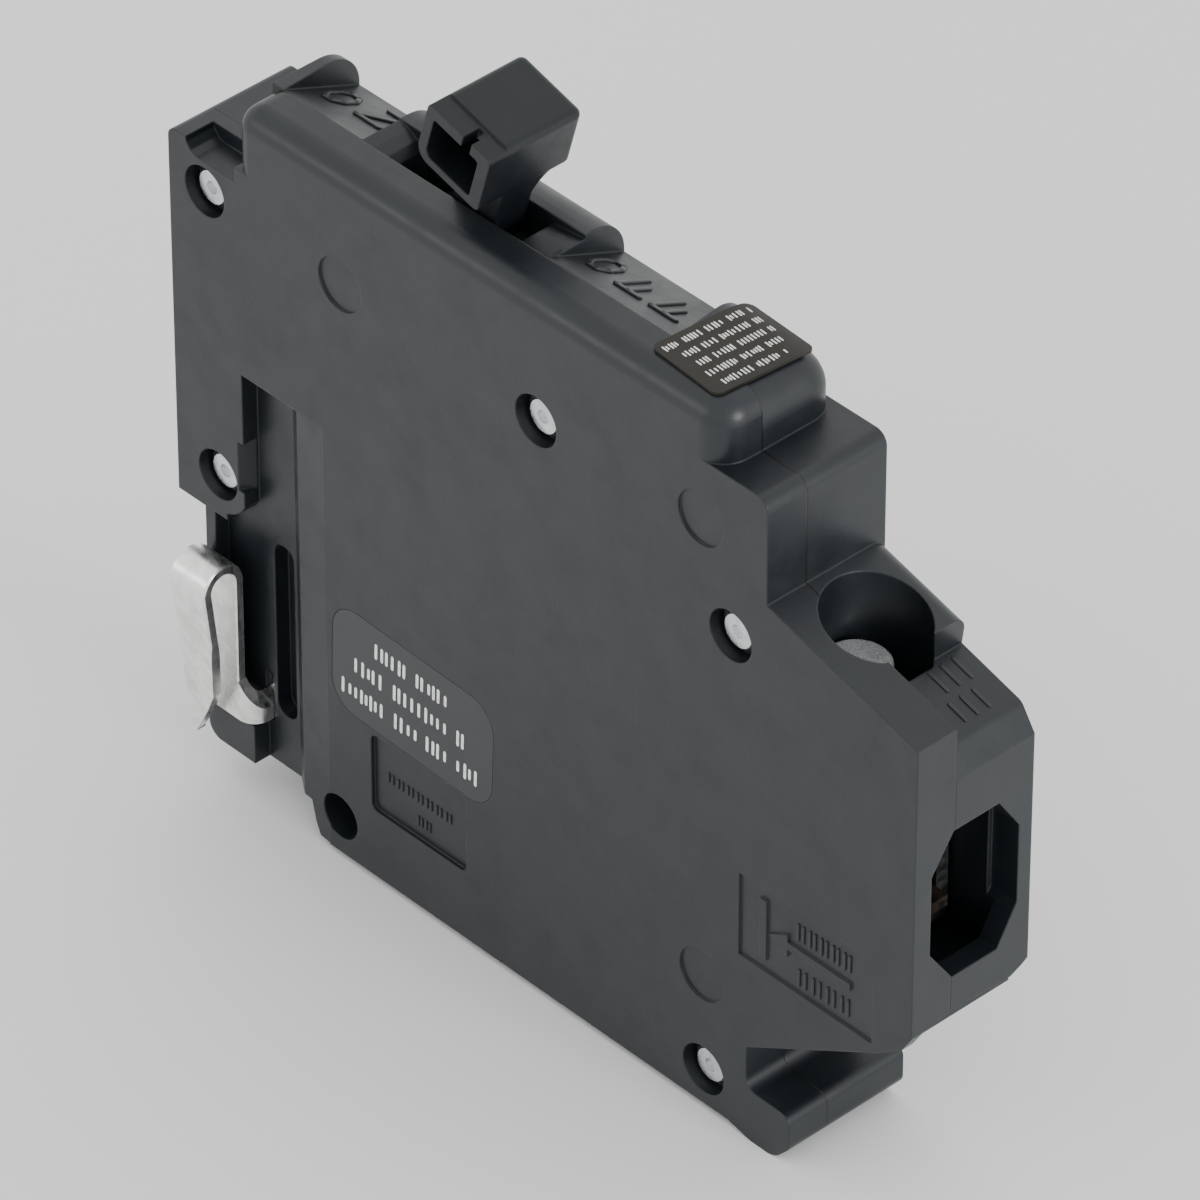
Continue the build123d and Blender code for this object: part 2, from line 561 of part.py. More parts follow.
# ---- line strap and the fixed contact, leaning as the arm leans when it is closed ----
CLOSED_UP = Vector(sin(radians(ARM_CLOSED_LEAN)), cos(radians(ARM_CLOSED_LEAN)))
CLOSED_SIDE = Vector(-CLOSED_UP.Y, CLOSED_UP.X)
CLOSED_TIP = Vector(*ARM_CLOSED_PIVOT) - CLOSED_UP * ARM_REACH
MOVING_FACE = ARM_HALF + CONTACT_T
FIXED_FACE = MOVING_FACE + FIT
strap_middle = CLOSED_TIP + CLOSED_SIDE * (FIXED_FACE + CONTACT_T + STRAP_T / 2)
strap_top = strap_middle + CLOSED_UP * 3.2
strap_knee = strap_middle - CLOSED_UP * 7.0
with BuildPart() as line_strap:
    with BuildSketch(wall(8.4)):
        with BuildLine():
            strap_foot = [(10.02, 7.6), (10.02, 29.0)]
            FilletPolyline(*strap_foot, (strap_knee.X, strap_knee.Y), (strap_top.X, strap_top.Y), radius=2.0)
        trace(line_width=STRAP_T)
    extrude(amount=4.1)
line_strap.part.label = "line_strap"


def tip_disc(centre, lean, side, near_face, depth, radius, label):
    """A round contact tip on the side of a leaning bar, from near_face outwards by its thickness."""
    tilt = radians(lean)
    outwards = Vector(-cos(tilt), 0, sin(tilt)) * side
    start = at(centre.X, depth, centre.Y) + outwards * near_face
    with BuildPart() as body:
        with BuildSketch(Plane(origin=start, x_dir=(0, 1, 0), z_dir=outwards)):
            Circle(radius)
        extrude(amount=CONTACT_T)
        fillet(body.edges().sort_by(lambda edge: (edge.center() - start).length)[-1], 0.25)
    body.part.label = label
    return body.part


fixed_place = CLOSED_TIP + CLOSED_SIDE * (FIXED_FACE + CONTACT_T)
fixed_tip = tip_disc(fixed_place, ARM_CLOSED_LEAN, -1, 0, 6.0, 1.6, "stationary_contact")
open_lean = radians(ARM_LEAN)
open_tip = Vector(FORK_POINT[0] - ARM_REACH * sin(open_lean), FORK_POINT[1] - ARM_REACH * cos(open_lean))
moving_tip = tip_disc(open_tip, ARM_LEAN, 1, ARM_HALF, 5.9, 1.3, "moving_contact")

# ---- contact arm: copper bar hung in the handle's fork ----
with BuildPart() as contact_arm:
    with BuildSketch(leaning(FORK_POINT, ARM_LEAN, 5.6)):
        Circle(1.5)
        Polygon((-ARM_HALF, 0), (ARM_HALF, 0), (ARM_HALF, -4), (-ARM_HALF, -4), align=None)
    extrude(amount=2.0)
    with BuildSketch(leaning(FORK_POINT, ARM_LEAN, 7.0)) as blade:
        Polygon((-ARM_HALF, -3.0), (ARM_HALF, -3.0), (ARM_HALF, -22.0), (-ARM_HALF, -22.0), align=None)
        fillet(near(blade.vertices(), (ARM_HALF, -22.0), (-ARM_HALF, -22.0)), 0.5)
    extrude(amount=2.55)
    with BuildSketch(leaning(FORK_POINT, 0, 6.8)):
        Circle(0.7)
    extrude(amount=4.3)
    with BuildSketch(wall(SPRING_DEPTH + 0.6)):
        with Locations(SPRING_LOW):
            Circle(SPRING_POST_R)
    extrude(amount=2.6)
contact_arm.part.label = "contact_arm"


def extension_spring(start, finish, depth, coil, wire, turns, label):
    """A close-wound extension spring with a ring at each end round the post it hooks on."""
    low = at(start[0], depth, start[1])
    high = at(finish[0], depth, finish[1])
    run = (high - low).normalized()
    ring = coil * 0.8
    lead = ring + 0.9
    pitch = ((high - low).length - 2 * lead) / turns
    bore = coil - 2 * wire
    with BuildPart() as body:
        # the touching turns, as a tube with one round ridge for each turn
        with BuildSketch(Plane(origin=low, x_dir=(0, 1, 0), z_dir=Vector(0, 1, 0).cross(run))):
            with BuildLine():
                for turn in range(turns):
                    foot = lead + turn * pitch
                    ThreePointArc((coil - wire, foot), (coil, foot + pitch / 2), (coil - wire, foot + pitch))
                top = lead + turns * pitch
                Polyline((coil - wire, top), (0, top), (0, top - wire), (bore, top - wire))
                Polyline((bore, top - wire), (bore, lead + wire), (0, lead + wire), (0, lead))
                Line((0, lead), (coil - wire, lead))
            make_face()
        revolve(axis=Axis(low, run))
        for post, towards in ((low, run), (high, -run)):
            with BuildSketch(Plane(origin=post + towards * ring, z_dir=towards)):
                Circle(wire * 0.9)
            extrude(amount=lead - ring + wire / 2)
            with BuildSketch(Plane(origin=post, x_dir=run, z_dir=(0, -1, 0))):
                Circle(ring + wire)
                Circle(ring - wire, mode=Mode.SUBTRACT)
            extrude(amount=wire, both=True)
    body.part.label = label
    return body.part


toggle_spring = extension_spring(SPRING_LOW, SPRING_HIGH, SPRING_DEPTH, 0.95, 0.17, 30, "toggle_spring")
armature_spring = extension_spring(ARMATURE_POST, (56.0, 38.0), 6.2, 1.0, 0.14, 5, "armature_spring")

# ---- cradle: latched lever that turns on the centre boss ----
with BuildPart() as cradle:
    with BuildSketch(wall(10.6)) as cradle_plate:
        with Locations(CRADLE_PIVOT):
            Circle(4.3)
        Polygon((43.2, 61.6), (33.0, 61.4), (31.8, 59.8), (33.0, 58.2), (43.2, 54.4), align=None)
        Polygon((43.2, 61.0), (55.6, 59.6), (56.7, 58.9), (56.7, 57.9), (43.2, 55.0), align=None)
        fillet(near(cradle_plate.vertices(), (31.8, 59.8)), 0.8)
        with Locations(CRADLE_PIVOT):
            Circle(BOSS_R + 0.1, mode=Mode.SUBTRACT)
    extrude(amount=1.1)
    with BuildSketch(wall(9.6)):
        with Locations(SPRING_HIGH):
            Circle(SPRING_POST_R)
    extrude(amount=2.0)
cradle.part.label = "cradle"

# ---- armature: steel plate with the latch window, hinged at its foot ----
with BuildPart() as armature:
    with BuildSketch(end(57.0)) as armature_plate:
        Polygon((3.2, 31.4), (10.4, 31.4), (10.4, 61.0), (3.2, 61.0), align=None)
        fillet(near(armature_plate.vertices(), (3.2, 61.0), (10.4, 61.0)), 1.0)
        with Locations((6.8, 53.5)):
            RectangleRounded(3.4, 5.0, 0.6, mode=Mode.SUBTRACT)
    extrude(amount=0.9)
    with BuildSketch(wall(10.4)):
        with Locations(ARMATURE_PIVOT):
            Circle(1.3)
    extrude(amount=7.2)
    with BuildSketch(wall(10.4)):
        with Locations(ARMATURE_PIVOT):
            Circle(ARMATURE_PIN_R + FIT)
    extrude(amount=7.2, mode=Mode.SUBTRACT)
armature.part.label = "armature"

# ---- magnet yoke: U of steel round the bimetal ----
with BuildPart() as magnet_yoke:
    with BuildSketch(level(33.6)) as yoke_section:
        Polygon((59.2, 2.2), (63.6, 2.2), (63.6, 10.6), (59.2, 10.6), align=None)
        fillet(near(yoke_section.vertices(), (63.6, 2.2), (63.6, 10.6)), 0.8)
        Polygon((58, 3.1), (62.5, 3.1), (62.5, 9.7), (58, 9.7), align=None, mode=Mode.SUBTRACT)
    extrude(amount=9.8)
magnet_yoke.part.label = "magnet_yoke"

# ---- bimetal: thermal strip that bends the armature off the cradle ----
with BuildPart() as bimetal:
    with BuildSketch(end(61.0)) as bimetal_face:
        Polygon((4.0, 27.8), (9.0, 27.8), (9.0, 56.0), (4.0, 56.0), align=None)
        fillet(near(bimetal_face.vertices(), (4.0, 56.0), (9.0, 56.0)), 0.8)
    extrude(amount=0.9)
bimetal.part.label = "bimetal"

# ---- braid: flexible copper shunt from the arm to the foot of the bimetal ----
with BuildPart() as braid:
    with BuildLine(wall(5.2)) as braid_line:
        FilletPolyline(*BRAID_ROUTE, radius=2.2)
    with BuildSketch(Plane(origin=braid_line.line @ 0, z_dir=braid_line.line % 0)):
        Circle(BRAID_R)
    sweep()
braid.part.label = "braid"

# ---- load strap: from the bimetal's foot into the lug ----
with BuildPart() as load_strap:
    with BuildSketch(wall(9.0)):
        Polygon(
            (61.9, 26.4), (80.6, 26.4), (80.6, 27.5), (63.0, 27.5), (63.0, 32.6), (61.9, 32.6), align=None
        )
    extrude(amount=5.0)
    fillet(near(load_strap.edges(), at(61.9, 6.5, 26.4)), 0.8)
load_strap.part.label = "load_strap"

# ---- calibration screw ----
with BuildPart() as calibration_screw:
    with BuildSketch(end(63.1)):
        with Locations(CALIBRATION_CENTRE):
            Circle(CALIBRATION_R)
    extrude(amount=6.6)
    chamfer(calibration_screw.edges(), 0.3)
    with BuildSketch(end(69.7)):
        with Locations(CALIBRATION_CENTRE):
            Rectangle(0.5, 3.0)
    extrude(amount=-0.8, mode=Mode.SUBTRACT)
calibration_screw.part.label = "calibration_screw"

# ---- box lug with its screw and saddle ----
with BuildPart() as box_lug:
    with BuildSketch(end(LUG_LEFT)) as lug_section:
        Polygon((2.1, LUG_BOTTOM), (10.6, LUG_BOTTOM), (10.6, LUG_TOP), (2.1, LUG_TOP), align=None)
        fillet(lug_section.vertices(), 0.9)
        Polygon((3.1, 26.3), (9.3, 26.3), (9.3, 39.6), (3.1, 39.6), align=None, mode=Mode.SUBTRACT)
    extrude(amount=LUG_RIGHT - LUG_LEFT)
    with BuildSketch(level(39.0)):
        with Locations(SCREW_CENTRE):
            Circle(SCREW_R + FIT)
    extrude(amount=5.0, mode=Mode.SUBTRACT)
box_lug.part.label = "box_lug"

with BuildPart() as lug_screw:
    with BuildSketch(level(SCREW_LOW)):
        with Locations(SCREW_CENTRE):
            Circle(SCREW_R)
    extrude(amount=SCREW_NECK - SCREW_LOW)
    chamfer(lug_screw.faces().sort_by(Axis.Z)[0].edges(), 0.45)
    with BuildSketch(level(SCREW_NECK)):
        with Locations(SCREW_CENTRE):
            Circle(SCREW_HEAD_R)
    extrude(amount=SCREW_TOP - SCREW_NECK)
    fillet(lug_screw.faces().sort_by(Axis.Z)[-1].edges(), 0.35)
    with BuildSketch(level(SCREW_TOP)):
        with Locations(SCREW_CENTRE):
            Rectangle(9.0, 1.0, rotation=20)
    extrude(amount=-1.0, mode=Mode.SUBTRACT)
lug_screw.part.label = "lug_screw"

with BuildPart() as pressure_plate:
    with BuildSketch(end(LUG_CENTRE[0] - 3.4)) as saddle:
        Polygon((3.7, 35.4), (9.0, 35.4), (9.0, SCREW_LOW), (3.7, SCREW_LOW), align=None)
        with Locations((BODY_T / 2, 34.4)):
            Circle(1.8, mode=Mode.SUBTRACT)
    extrude(amount=6.8)
pressure_plate.part.label = "pressure_plate"

# ---- arc chamber: steel plates held by a fibre strip ----
with BuildPart() as arc_plates:
    for height in ARC_HEIGHTS:
        with BuildSketch(level(height)):
            Polygon((22.6, 2.3), (33.4, 2.3), (33.4, 10.4), (22.6, 10.4), align=None)
            Polygon((22, 4.6), (27.4, 5.8), (27.4, 6.9), (22, 8.1), align=None, mode=Mode.SUBTRACT)
        extrude(amount=ARC_PLATE_T)
arc_plates.part.label = "arc_plates"

with BuildPart() as arc_frame:
    with BuildSketch(end(33.4)) as fibre:
        Polygon((2.3, 11.0), (10.4, 11.0), (10.4, 28.5), (2.3, 28.5), align=None)
        fillet(fibre.vertices(), 0.8)
    extrude(amount=0.8)
arc_frame.part.label = "arc_frame"

# ---- labels: thin plates with rounded corners ----
with BuildPart() as label_top:
    # section that bends a little over the rounded back edge of the tower
    with BuildSketch(end(TOWER_RIGHT - 12.0)):
        with BuildLine():
            Line((0, TOWER_TOP + LABEL_GAP), (BODY_T - TOP_BACK_R, TOWER_TOP + LABEL_GAP))
            CenterArc((BODY_T - TOP_BACK_R, TOWER_TOP + LABEL_GAP - LABEL_BEND_R), LABEL_BEND_R, 90, -40)
        trace(line_width=TOP_LABEL_T)
    extrude(amount=12.0)
    with BuildSketch(level(TOWER_TOP - TOP_BACK_R)):
        with Locations(TOP_LABEL_PLACE):
            RectangleRounded(8.1, 9.9, 0.8)
    extrude(amount=TOP_BACK_R + 1, mode=Mode.INTERSECT)
label_top.part.label = "label_top"

with BuildPart() as label_side:
    with BuildSketch(wall(LABEL_T)):
        with Locations(LABEL_PLACE):
            RectangleRounded(19.2, 10.8, 2.8)
    extrude(amount=LABEL_T)
label_side.part.label = "label_side"

pieces = [
    base.part, cover.part, rivets.part, handle.part, handle_pin, line_jaw.part, line_strap.part, fixed_tip,
    contact_arm.part, moving_tip, toggle_spring, cradle.part, armature.part, armature_pin, armature_spring,
    magnet_yoke.part, bimetal.part, braid.part, load_strap.part, calibration_screw.part, box_lug.part,
    lug_screw.part, pressure_plate.part, arc_plates.part, arc_frame.part, label_top.part, label_side.part,
]
os.makedirs("parts", exist_ok=True)
for piece in pieces:
    export_step(piece, f"parts/{piece.label}.step")
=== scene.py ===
"""Looks of the thin plug-in circuit breaker: materials, marks, labels, light and camera."""

import math
import random

import bmesh
import bpy
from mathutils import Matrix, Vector


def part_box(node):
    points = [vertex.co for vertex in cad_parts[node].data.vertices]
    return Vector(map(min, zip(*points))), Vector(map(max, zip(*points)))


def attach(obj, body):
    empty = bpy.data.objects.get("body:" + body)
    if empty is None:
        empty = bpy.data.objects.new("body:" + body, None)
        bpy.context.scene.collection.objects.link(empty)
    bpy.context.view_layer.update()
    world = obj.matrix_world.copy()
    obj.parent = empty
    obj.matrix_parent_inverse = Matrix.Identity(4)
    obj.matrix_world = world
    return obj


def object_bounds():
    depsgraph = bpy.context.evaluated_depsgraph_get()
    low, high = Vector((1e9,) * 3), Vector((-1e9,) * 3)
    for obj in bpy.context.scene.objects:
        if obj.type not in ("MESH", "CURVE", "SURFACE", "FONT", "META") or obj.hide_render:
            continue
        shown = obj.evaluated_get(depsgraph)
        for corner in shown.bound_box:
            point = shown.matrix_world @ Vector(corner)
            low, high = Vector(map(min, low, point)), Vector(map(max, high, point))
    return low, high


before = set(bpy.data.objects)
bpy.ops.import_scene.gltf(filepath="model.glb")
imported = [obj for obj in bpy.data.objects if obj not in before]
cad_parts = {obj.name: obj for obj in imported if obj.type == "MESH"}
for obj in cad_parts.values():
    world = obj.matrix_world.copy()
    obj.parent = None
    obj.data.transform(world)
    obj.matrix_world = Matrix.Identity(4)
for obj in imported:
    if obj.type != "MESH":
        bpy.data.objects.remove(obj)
cad_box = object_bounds()

MM = 0.001
BASE_LOW = Vector(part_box("base")[0])
COVER_LOW, COVER_HIGH = (Vector(corner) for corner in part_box("cover"))
LEFT = BASE_LOW.x
FRONT = COVER_LOW.y
SEAM_Y = COVER_HIGH.y


def at(x, depth, z):
    """Scene point for sizes in millimetres: x from the left end, depth from the front face, height."""
    return Vector((LEFT + x * MM, FRONT + depth * MM, z * MM))


# ---- node helpers ----
# cosines between the softened and the true normal
EDGE_STARTS, EDGE_IS_FULL = 0.995, 0.86


class Shader:
    """A material with a principled shader and short calls for the nodes that feed it."""

    def __init__(self, name, roughness=0.5, metallic=0.0, specular=0.5, coat=0.0, coat_roughness=0.2):
        self.material = bpy.data.materials.new(name)
        self.material.use_nodes = True
        self.tree = self.material.node_tree
        self.bsdf = self.tree.nodes["Principled BSDF"]
        self.bsdf.inputs["Roughness"].default_value = roughness
        self.bsdf.inputs["Metallic"].default_value = metallic
        self.bsdf.inputs["Specular IOR Level"].default_value = specular
        self.bsdf.inputs["Coat Weight"].default_value = coat
        self.bsdf.inputs["Coat Roughness"].default_value = coat_roughness
        self.place = self.node("ShaderNodeTexCoord").outputs["Object"]

    def node(self, kind, **settings):
        made = self.tree.nodes.new(kind)
        for key, value in settings.items():
            setattr(made, key, value)
        return made

    def link(self, source, target):
        self.tree.links.new(source, target)

    def stretched(self, scale):
        """Texture place with each axis scaled."""
        mapping = self.node("ShaderNodeMapping")
        mapping.inputs["Scale"].default_value = scale
        self.link(self.place, mapping.inputs["Vector"])
        return mapping.outputs["Vector"]

    def noise(self, per_metre, detail=4.0, rough=0.6, scale=(1, 1, 1), distortion=0.0):
        texture = self.node("ShaderNodeTexNoise")
        texture.inputs["Scale"].default_value = per_metre
        texture.inputs["Detail"].default_value = detail
        texture.inputs["Roughness"].default_value = rough
        texture.inputs["Distortion"].default_value = distortion
        self.link(self.stretched(scale), texture.inputs["Vector"])
        return texture.outputs["Fac"]

    def spread(self, value, low, high, to_low=0.0, to_high=1.0):
        """The stretch of a value from low to high, mapped to the stretch from to_low to to_high."""
        ranged = self.node("ShaderNodeMapRange")
        for name, number in (("From Min", low), ("From Max", high), ("To Min", to_low), ("To Max", to_high)):
            ranged.inputs[name].default_value = number
        self.link(value, ranged.inputs["Value"])
        return ranged.outputs["Result"]

    def ramp(self, value, *stops):
        """Colour for a value, from stops of (value, colour)."""
        made = self.node("ShaderNodeValToRGB")
        band = made.color_ramp
        while len(band.elements) < len(stops):
            band.elements.new(0.5)
        for element, (place, colour) in zip(band.elements, stops):
            element.position = place
            element.color = (*colour, 1)
        self.link(value, made.inputs["Fac"])
        return made.outputs["Color"]

    def mixed(self, share, under, over):
        """The colour socket under, covered by the plain colour over where share is 1."""
        made = self.node("ShaderNodeMix", data_type="RGBA")
        factor, first, second = made.inputs["Factor"], made.inputs[6], made.inputs[7]
        self.link(share, factor)
        self.link(under, first)
        second.default_value = (*over, 1)
        return made.outputs[2]

    def rounded(self, radius):
        """Normals softened over sharp edges, and a mask that is 1 on those edges."""
        bevel = self.node("ShaderNodeBevel", samples=4)
        bevel.inputs["Radius"].default_value = radius
        geometry = self.node("ShaderNodeNewGeometry")
        facing = self.node("ShaderNodeVectorMath", operation="DOT_PRODUCT")
        self.link(bevel.outputs["Normal"], facing.inputs[0])
        self.link(geometry.outputs["Normal"], facing.inputs[1])
        return bevel.outputs["Normal"], self.spread(facing.outputs["Value"], EDGE_STARTS, EDGE_IS_FULL)

    def near_plane(self, y, half_width):
        """1 on the plane across the case at y, fading to 0 at half_width from it."""
        geometry = self.node("ShaderNodeNewGeometry")
        axes = self.node("ShaderNodeSeparateXYZ")
        self.link(geometry.outputs["Position"], axes.inputs["Vector"])
        offset = self.node("ShaderNodeMath", operation="SUBTRACT")
        self.link(axes.outputs["Y"], offset.inputs[0])
        offset.inputs[1].default_value = y
        distance = self.node("ShaderNodeMath", operation="ABSOLUTE")
        self.link(offset.outputs["Value"], distance.inputs[0])
        return self.spread(distance.outputs["Value"], half_width * 0.5, half_width, to_low=1.0, to_high=0.0)

    def bump(self, height, strength, distance, under=None):
        made = self.node("ShaderNodeBump")
        made.inputs["Strength"].default_value = strength
        made.inputs["Distance"].default_value = distance
        self.link(height, made.inputs["Height"])
        if under is not None:
            self.link(under, made.inputs["Normal"])
        return made.outputs["Normal"]

    def finish(self, colour, roughness=None, normal=None):
        """Feeds the principled shader, and gives the material."""
        for source, name in ((colour, "Base Color"), (roughness, "Roughness"), (normal, "Normal")):
            if source is not None:
                self.link(source, self.bsdf.inputs[name])
        return self.material


def toned(colour, factor, lift=0.0):
    """A colour made darker or lighter by a factor, and lifted."""
    return tuple(min(1.0, channel * factor + lift) for channel in colour)


# ---- materials ----
EDGE_RADIUS = 0.22 * MM
SEAM_HALF_WIDTH = 0.11 * MM
SEAM_COLOUR = (0.002, 0.002, 0.002)


def moulded_phenolic(name, base, grain=1.0, seam=False, specular=0.46):
    """Black thermoset with flow mottling, fine mineral speckle, a spark-eroded skin and painted highlights on
    its sharp edges.
    """
    shader = Shader(name, roughness=0.36, specular=specular)
    flow = shader.noise(90, detail=5.0, rough=0.62, distortion=0.6)
    body = shader.ramp(flow, (0.3, toned(base, 0.8)), (0.52, base), (0.75, toned(base, 1.2)))
    speck = shader.spread(shader.noise(5200, detail=2.0, rough=0.5), 0.66, 0.74)
    body = shader.mixed(speck, body, toned(base, 1.6))
    dust = shader.spread(shader.noise(420, detail=6.0, rough=0.7), 0.56, 0.72, to_high=0.12)
    body = shader.mixed(dust, body, toned(base, 2.2))
    soft_normal, edge = shader.rounded(EDGE_RADIUS)
    # painted highlight: sharp edges are mixed up to half-way towards a far lighter tone of the base
    edge_highlight = shader.spread(edge, 0, 1, to_high=0.5)
    body = shader.mixed(edge_highlight, body, toned(base, 2.4))
    if seam:
        body = shader.mixed(shader.near_plane(SEAM_Y, SEAM_HALF_WIDTH), body, SEAM_COLOUR)
    rough = shader.spread(shader.noise(260, detail=5.0, rough=0.65), 0.3, 0.7, to_low=0.30, to_high=0.46)
    skin = shader.noise(2600, detail=3.0, rough=0.6)
    waves = shader.noise(130, detail=2.0, rough=0.5)
    normal = shader.bump(waves, strength=0.10, distance=0.4 * MM, under=soft_normal)
    normal = shader.bump(skin, strength=0.10 * grain, distance=0.12 * MM, under=normal)
    return shader.finish(body, rough, normal)


def plated(name, base, roughness=0.3, mottle=0.2, streak=(1, 1, 1), scale=500, metallic=1.0):
    """Plated or rolled metal: cloudy tone, darker stains and fine drawing streaks."""
    shader = Shader(name, roughness=roughness, metallic=metallic)
    cloud = shader.noise(scale, detail=5.0, rough=0.65, distortion=0.8)
    body = shader.ramp(cloud, (0.34, toned(base, 1 - mottle)), (0.58, base), (0.8, toned(base, 1.08)))
    stain = shader.spread(shader.noise(scale * 2.3, detail=4.0, rough=0.7), 0.6, 0.75, to_high=mottle)
    body = shader.mixed(stain, body, toned(base, 0.45))
    lines = shader.noise(scale * 3, detail=3.0, rough=0.6, scale=streak)
    rough = shader.spread(lines, 0.3, 0.7, to_low=roughness * 0.75, to_high=roughness * 1.35)
    normal = shader.bump(lines, strength=0.16, distance=0.06 * MM)
    normal = shader.bump(cloud, strength=0.2, distance=0.1 * MM, under=normal)
    return shader.finish(body, rough, normal)


def fibre_board(name):
    """Grey pressed fibre with an upright grain."""
    shader = Shader(name, roughness=0.8)
    grain = shader.noise(900, detail=5.0, rough=0.7, scale=(1, 1, 0.15))
    body = shader.ramp(grain, (0.35, (0.12, 0.12, 0.13)), (0.7, (0.24, 0.24, 0.25)))
    rough = shader.spread(grain, 0.3, 0.7, to_low=0.7, to_high=0.92)
    return shader.finish(body, rough, shader.bump(grain, strength=0.5, distance=0.1 * MM))


def braided_copper(name):
    """Copper strands that cross the braid at a slant, dark between them."""
    shader = Shader(name, roughness=0.4, metallic=1.0)
    wave = shader.node("ShaderNodeTexWave", wave_type="BANDS", bands_direction="DIAGONAL")
    wave.inputs["Scale"].default_value = 700
    wave.inputs["Distortion"].default_value = 1.5
    shader.link(shader.place, wave.inputs["Vector"])
    strand = wave.outputs["Fac"]
    body = shader.ramp(strand, (0.2, (0.28, 0.12, 0.06)), (0.7, (0.72, 0.36, 0.2)))
    rough = shader.spread(strand, 0, 1, to_low=0.5, to_high=0.3)
    return shader.finish(body, rough, shader.bump(strand, strength=0.8, distance=0.2 * MM))


def printed_foil(name, base, gloss, specular=0.40, coat=0.1):
    """Thin label stock with a cloudy tone and scuffed patches."""
    shader = Shader(name, roughness=gloss, specular=specular, coat=coat, coat_roughness=0.3)
    cloud = shader.noise(380, detail=5.0, rough=0.65)
    body = shader.ramp(cloud, (0.3, toned(base, 0.8)), (0.7, toned(base, 1.15)))
    scuff = shader.noise(1500, detail=4.0, rough=0.7, scale=(1, 0.3, 1))
    body = shader.mixed(shader.spread(scuff, 0.6, 0.78, to_high=0.35), body, toned(base, 1.9, lift=0.02))
    rough = shader.spread(cloud, 0.3, 0.7, to_low=gloss * 0.85, to_high=gloss * 1.2)
    return shader.finish(body, rough, shader.bump(cloud, strength=0.15, distance=0.05 * MM))


def print_ink(name, base):
    """Pale label ink, slightly uneven."""
    shader = Shader(name, roughness=0.55)
    cloud = shader.noise(2600, detail=4.0, rough=0.6)
    body = shader.ramp(cloud, (0.35, toned(base, 0.78)), (0.6, base))
    rough = shader.spread(cloud, 0.3, 0.7, to_low=0.45, to_high=0.65)
    return shader.finish(body, rough, shader.bump(cloud, strength=0.2, distance=0.03 * MM))


materials = {
    "case": moulded_phenolic("case_phenolic", (0.0068, 0.0098, 0.0120), seam=True),
    "handle": moulded_phenolic("handle_phenolic", (0.0052, 0.0074, 0.0090), grain=1.2, specular=0.34),
    "marks": moulded_phenolic("raised_marks", (0.013, 0.0152, 0.0163)),
    "zinc": plated("bright_zinc", (0.72, 0.73, 0.75), roughness=0.24, mottle=0.18),
    "screw": plated("bright_screw", (0.8, 0.81, 0.82), roughness=0.25, mottle=0.15, metallic=0.8),
    "steel": plated("rolled_steel", (0.45, 0.45, 0.46), roughness=0.38, mottle=0.25, streak=(0.1, 1, 1)),
    "spring": plated("spring_wire", (0.5, 0.5, 0.52), mottle=0.15),
    "tin": plated("tin_plate", (0.93, 0.93, 0.91), mottle=0.24, streak=(1, 1, 0.12), scale=420),
    "copper": plated("rolled_copper", (0.72, 0.36, 0.22), roughness=0.34, mottle=0.3, streak=(1, 1, 0.1)),
    "silver": plated("silver_alloy", (0.82, 0.8, 0.77), roughness=0.36, mottle=0.15),
    "bimetal": plated("bimetal_strip", (0.56, 0.52, 0.47), roughness=0.4, mottle=0.22, streak=(1, 0.1, 1)),
    "brass": plated("turned_brass", (0.75, 0.58, 0.28)),
    # painted shade: near-black colours on the lug and the load strap stand for the shade inside the wire
    # entry
    "lug": plated("lug_painted_shade", (0.13, 0.13, 0.135), roughness=0.45, mottle=0.3, streak=(0.1, 1, 1)),
    "shaded_strap": plated("strap_painted_shade", (0.085, 0.07, 0.06), roughness=0.5, mottle=0.35, streak=(0.1, 1, 1)),
    "fibre": fibre_board("vulcanised_fibre"),
    "braid": braided_copper("braided_copper"),
    "dark_label": printed_foil("dark_foil", (0.012, 0.0108, 0.0072), gloss=0.42, specular=0.24, coat=0.03),
    "clear_label": printed_foil("clear_film", (0.019, 0.022, 0.024), gloss=0.34),
    "ink": print_ink("pale_ink", (0.72, 0.72, 0.68)),
    "white_ink": print_ink("white_ink", (0.85, 0.86, 0.86)),
}
finishes = {
    "case": ("base", "cover"),
    "handle": ("handle",),
    "zinc": ("rivets", "cradle", "armature", "magnet_yoke"),
    "screw": ("lug_screw",),
    "steel": ("handle_pin", "armature_pin", "arc_plates"),
    "spring": ("toggle_spring", "armature_spring"),
    "tin": ("line_jaw",),
    "copper": ("line_strap", "contact_arm"),
    "silver": ("stationary_contact", "moving_contact"),
    "bimetal": ("bimetal",),
    "brass": ("calibration_screw",),
    "lug": ("box_lug", "pressure_plate"),
    "shaded_strap": ("load_strap",),
    "fibre": ("arc_frame",),
    "braid": ("braid",),
    "dark_label": ("label_top",),
    "clear_label": ("label_side",),
}
for finish, nodes in finishes.items():
    for node in nodes:
        for material_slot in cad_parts[node].material_slots:
            material_slot.material = materials[finish]


def settled(thing, name, material, body):
    """Names a piece, gives it its material, and sets it on a body."""
    thing.name = name
    thing.data.name = name
    thing.data.materials.append(materials[material])
    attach(thing, body)


